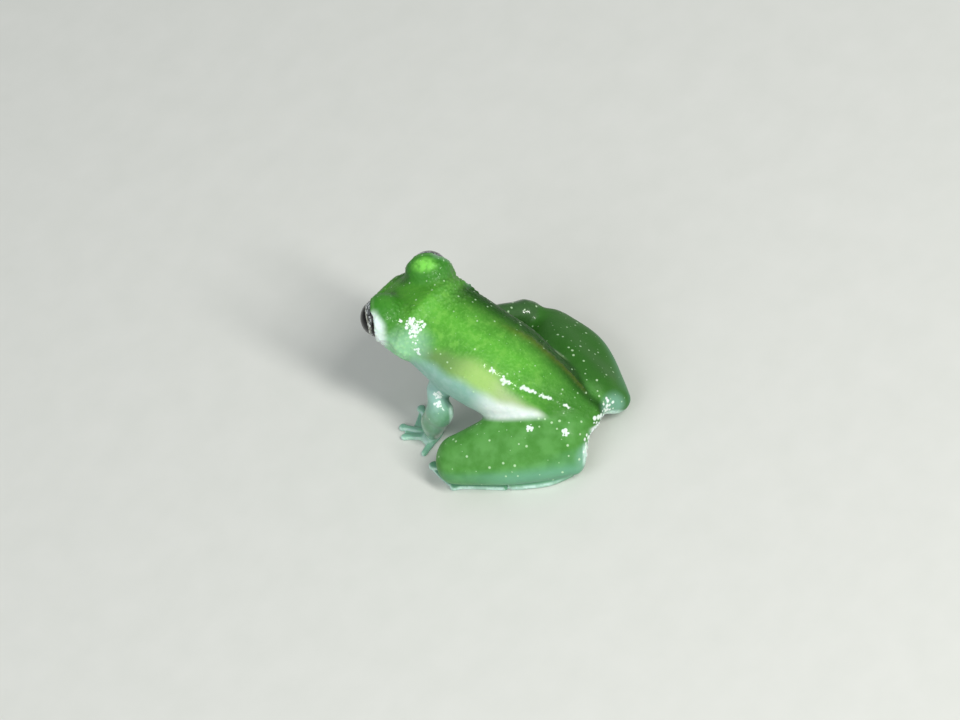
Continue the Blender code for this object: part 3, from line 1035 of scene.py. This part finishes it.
def back_colour(s, along):
    """Clouded leaf green, dark on the crown and at the vent, with painted shade at the right edge and a
    painted highlight on the domes.
    """
    colour = s.mix(s.range(s.noise(1.8 * MM), 0.3, 0.7), (76, 151, 43), (94, 169, 59))
    # The bright band: partly the skin's own colour, partly painted light.
    colour = s.mix(s.mark("bright", 0.5), colour, (98, 184, 56))
    colour = s.mix(s.range(s.noise(0.3 * MM, 4), 0.45, 0.75, 0, 0.34), colour, (134, 204, 92))
    colour = s.mix(s.range(s.noise(0.9 * MM, 2), 0.5, 0.68, 0, 0.4), colour, (122, 190, 76))
    colour = s.mix(s.range(along, 0.46, 0.1, 0, 0.9), colour, (58, 122, 38))
    colour = s.mix(s.mark("crown", 0.7), colour, (66, 134, 36))
    # Painted shade down the right side of the back.
    colour = s.mix(s.mark("painted_shade"), colour, (24, 76, 6))
    colour = s.mix(s.mark("seam", 0.4), colour, (102, 112, 40))
    colour = s.mix(s.mark("dome", 0.8), colour, (54, 130, 36))
    # Painted highlight on the domes, broken into patches.
    patchy = s.range(s.noise(0.7 * MM, 2), 0.3, 0.6, 0.35, 1)
    return s.mix(s.math("MULTIPLY", s.mark("dome_highlight"), patchy), colour, (130, 216, 88))


def leg_colour(s):
    """Duller green than the back, with painted shade on the right leg, and a bluish lower side that is
    partly painted sheen.
    """
    colour = s.mix(s.range(s.noise(1.4 * MM), 0.3, 0.7), (70, 136, 50), (92, 156, 76))
    # Painted shade on the right leg.
    colour = s.mix(s.mark("right", 0.85), colour, (42, 98, 24))
    # Bluish lower side, partly painted sheen.
    return s.mix(s.mark("blue", 0.75), colour, (112, 170, 144))


def arm_colour(s):
    """Blue-grey green, paler at the hand and the shoulder, with painted shade on the right elbow."""
    height = s.mark("height")
    colour = s.mix(s.range(s.noise(1.0 * MM), 0.3, 0.7), (96, 150, 112), (120, 168, 138))
    colour = s.mix(s.range(height, 1.2, 0.6), colour, (134, 190, 164))
    colour = s.mix(s.range(height, 5.6, 8.0), colour, (150, 194, 182))
    # Painted shade on the right elbow.
    elbow = s.math("MULTIPLY", s.mark("right"), s.range(height, 2.4, 4.4))
    return s.mix(elbow, colour, (54, 98, 44))


def flank_colour(s, along):
    """Yellow green over the organs, that fades towards the shoulder."""
    colour = s.mix(s.range(along, 0.42, 0.6), (168, 192, 140), (158, 198, 110))
    return s.mix(s.range(along, 0.64, 0.84), colour, (104, 146, 76))


def belly_colour(s, along):
    """White towards the thighs, blue-green towards the chest, mint green on the jaw."""
    colour = s.mix(s.range(along, 0.46, 0.66), (232, 242, 238), (138, 184, 168))
    colour = s.mix(s.range(s.noise(0.8 * MM), 0.4, 0.7, 0, 0.25), colour, (180, 208, 204))
    return s.mix(s.mark("jaw"), colour, (140, 197, 150))


def skin_material():
    s = Shader("frog_skin")
    along = s.mark("along")
    colour = s.mix(s.mark("gold"), back_colour(s, along), flank_colour(s, along))
    colour = s.mix(s.mark("belly"), colour, belly_colour(s, along))
    colour = s.mix(s.mark("limb"), colour, s.mix(s.mark("armward"), leg_colour(s), arm_colour(s)))
    colour = s.mix(s.mark("heel", 0.85), colour, (114, 168, 142))
    # Painted shade in the folds and creases.
    colour = s.mix(s.mark("hollow", 0.6), colour, (34, 78, 28))
    # Pale rims, partly painted rim highlight.
    uneven = s.range(s.noise(0.8 * MM, 2), 0.4, 0.6, 0.6, 1.0)
    colour = s.mix(s.math("MULTIPLY", s.mark("rim"), uneven), colour, (206, 238, 226))
    colour = s.mix(s.mark("grain", 0.22), colour, (180, 226, 160))
    colour = s.mix(s.range(s.mark("fleck"), 0.3, 0.8, 0, 0.7), colour, (200, 232, 190))
    # White warts, and white glints painted as highlights.
    colour = s.mix(s.range(s.mark("warts_and_glints"), 0.2, 0.7, 0, 0.85), colour, (236, 248, 242))
    colour = s.mix(s.mark("margin", 0.35), colour, (190, 222, 176))
    # White lid corner, partly painted highlight.
    colour = s.mix(s.mark("white"), colour, (222, 242, 234))
    colour = s.mix(s.mark("mouth", 0.5), colour, (60, 100, 60))
    colour = s.mix(s.range(s.mark("nostril"), 0.4, 0.9), colour, (20, 34, 16))
    pebbled = s.range(s.cells(0.17 * MM), 0.0, 0.6, 1, 0)
    normal = s.bump(pebbled, 0.014 * MM, 0.7, s.bump(s.noise(0.06 * MM, 2), 0.003 * MM, 1.0))
    return s.finish(
        {
            "Base Color": colour,
            "Normal": normal,
            "Roughness": 0.5,
            "Specular IOR Level": 0.22,
            "Coat Weight": s.range(s.mark("wet"), 0.1, 0.7, 0.08, 0.85),
            "Coat Roughness": 0.12,
            "Coat IOR": 1.4,
            "Subsurface Weight": 0.3,
            "Subsurface Radius": (0.7, 1.0, 0.5),
            "Subsurface Scale": 0.5 * MM,
        }
    )


def eye_material():
    """A black level pupil in a silver iris with dark veins, under a wet cornea."""
    s = Shader("frog_eye")
    place = s.node("Attribute", attribute_name="eye_place").outputs["Vector"]
    across, high, out = s.node("SeparateXYZ", {0: place}).outputs
    wide = s.math("POWER", s.math("DIVIDE", across, PUPIL_HALF_WIDTH), 2.0)
    tall = s.math("POWER", s.math("DIVIDE", high, PUPIL_HALF_HEIGHT), 2.0)
    pupil = s.math("POWER", s.math("ADD", wide, tall), 0.5)
    around = s.math("MULTIPLY", s.math("ARCTAN2", high, across), 1.5)
    polar = s.node("CombineXYZ", {0: around, 1: s.math("MULTIPLY", pupil, 3.4)}).outputs[0]
    veins = s.range(s.cells(0.45, "DISTANCE_TO_EDGE", polar), 0.02, 0.2, 1, 0)
    clouds = s.range(s.noise(0.3, 4, polar), 0.3, 0.7)
    silver = s.mix(clouds, (96, 102, 104), (226, 232, 232))
    iris = s.mix(s.math("MULTIPLY", veins, 0.9), silver, (18, 20, 22))
    ring = s.range(pupil, 1.12, 1.04)
    iris = s.mix(s.math("MULTIPLY", ring, 0.3), iris, (200, 202, 180))
    # Darker towards the lids: partly the iris's dark edge, partly painted shade of the lid on the eyeball.
    iris = s.mix(s.range(out, 0.92, 0.7), iris, (14, 16, 16))
    colour = s.mix(s.range(pupil, 1.02, 0.98), iris, (3, 3, 3))
    return s.finish(
        {
            "Base Color": colour,
            "Roughness": 0.25,
            "Specular IOR Level": 0.2,
            "Coat Weight": 0.3,
            "Coat Roughness": 0.02,
            "Coat IOR": 1.38,
        }
    )


def eyeball_mesh(name, side):
    """An eyeball whose poles lie on its line of sight."""
    centre, gaze, level, upward = eye_axes(side)
    around, rings = ((120, 80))
    tilt = np.arange(1, rings)[:, None] * math.pi / rings
    turn = np.arange(around) * 2 * math.pi / around
    wide = np.sin(tilt)
    deep = np.cos(tilt) * np.ones(around)
    ring = np.stack([wide * np.cos(turn), wide * np.sin(turn), deep], axis=-1).reshape(-1, 3)
    local = np.vstack([ring, (0, 0, 1.0), (0, 0, -1.0)]) * EYE_RADIUS
    front, rear, last = len(ring), len(ring) + 1, len(ring) - around
    faces = []
    for k in range(around):
        n = (k + 1) % around
        faces += [(row + k, row + around + k, row + around + n, row + n) for row in range(0, last, around)]
        faces += [(front, k, n), (rear, last + n, last + k)]
    data = bpy.data.meshes.new(name)
    data.from_pydata(world(centre + local @ np.array([level, upward, gaze])).tolist(), [], faces)
    if np.dot(np.cross(level, upward), gaze) < 0:
        data.flip_normals()
    layer = data.attributes.new("eye_place", "FLOAT_VECTOR", "POINT")
    layer.data.foreach_set("vector", local.astype(np.float32).ravel())
    return data


skin = put_in_scene("skin", skin_mesh("skin", *build_skin()), skin_material())
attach(skin, "root")
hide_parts(*[name for name in frame["nodes"] if not name.startswith("eye_")])

eye_look = eye_material()
for side, word in SIDES:
    eyeball = put_in_scene("eyeball_" + word, eyeball_mesh("eyeball_" + word, side), eye_look)
    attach(eyeball, "root")
    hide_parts("eye_" + word)

# Floor, light and camera.

bpy.ops.mesh.primitive_plane_add(size=3.0)
floor = bpy.context.object
floor.name = "floor"
paper = Shader("floor_paper")
cloudy = paper.mix(paper.noise(0.004), (214, 216, 210), (222, 223, 218))
floor.data.materials.append(paper.finish({"Base Color": cloudy, "Roughness": 0.8}))

scene = bpy.context.scene
scene.view_settings.view_transform = "Standard"
sky = bpy.data.worlds.new("studio")
sky.use_nodes = True
sky.node_tree.nodes["Background"].inputs["Color"].default_value = (0.93, 0.97, 1.0, 1.0)
sky.node_tree.nodes["Background"].inputs["Strength"].default_value = 0.34
scene.world = sky


def soft_light(name, toward, length, distance, size, power, colour):
    """A flat light that faces the frog, with its longer side along the given direction."""
    lamp = bpy.data.lights.new(name, "AREA")
    lamp.shape = "RECTANGLE"
    lamp.size, lamp.size_y = size
    lamp.energy = power
    lamp.color = colour
    made = bpy.data.objects.new(name, lamp)
    ahead = Vector(toward).normalized()
    long_side = Vector(length)
    long_side = (long_side - long_side.dot(ahead) * ahead).normalized()
    turn = Matrix((long_side, ahead.cross(long_side), ahead)).transposed()
    made.matrix_world = Matrix.Translation(ahead * distance) @ turn.to_4x4()
    scene.collection.objects.link(made)


soft_light(
    "key",
    toward=(0.12, 0.72, 0.68),
    length=(0.2, 0.63, -0.75),
    distance=0.5,
    size=(0.30, 0.06),
    power=2.0,
    colour=(1.0, 0.99, 0.96),
)
soft_light(
    "fill",
    toward=(0.85, -0.05, 0.75),
    length=(0, 1, 0),
    distance=0.6,
    size=(0.5, 0.4),
    power=1.2,
    colour=(0.97, 0.99, 1.0),
)

# The camera looks down from behind the frog's left side, and is shifted to frame it as in the picture.
AIM = world((10.0, 0.0, 7.0))
CAMERA_DISTANCE = 0.4
BACK = unit(np.array([0.443, 0.509, 0.738]))
RIGHTWARD = np.array([-0.5025, 0.8226, -0.2656])
RIGHTWARD = unit(RIGHTWARD - (RIGHTWARD @ BACK) * BACK)
camera_data = bpy.data.cameras.new("camera")
camera_data.sensor_width = 36.0
camera_data.lens = 151.35
camera_data.clip_start = 0.01
camera_data.shift_x = -0.0281
camera_data.shift_y = 0.0128
camera = bpy.data.objects.new("camera", camera_data)
turn = np.stack([RIGHTWARD, np.cross(BACK, RIGHTWARD), BACK], axis=1)
camera.matrix_world = Matrix.Translation(AIM + BACK * CAMERA_DISTANCE) @ Matrix(turn.tolist()).to_4x4()
scene.collection.objects.link(camera)
scene.camera = camera
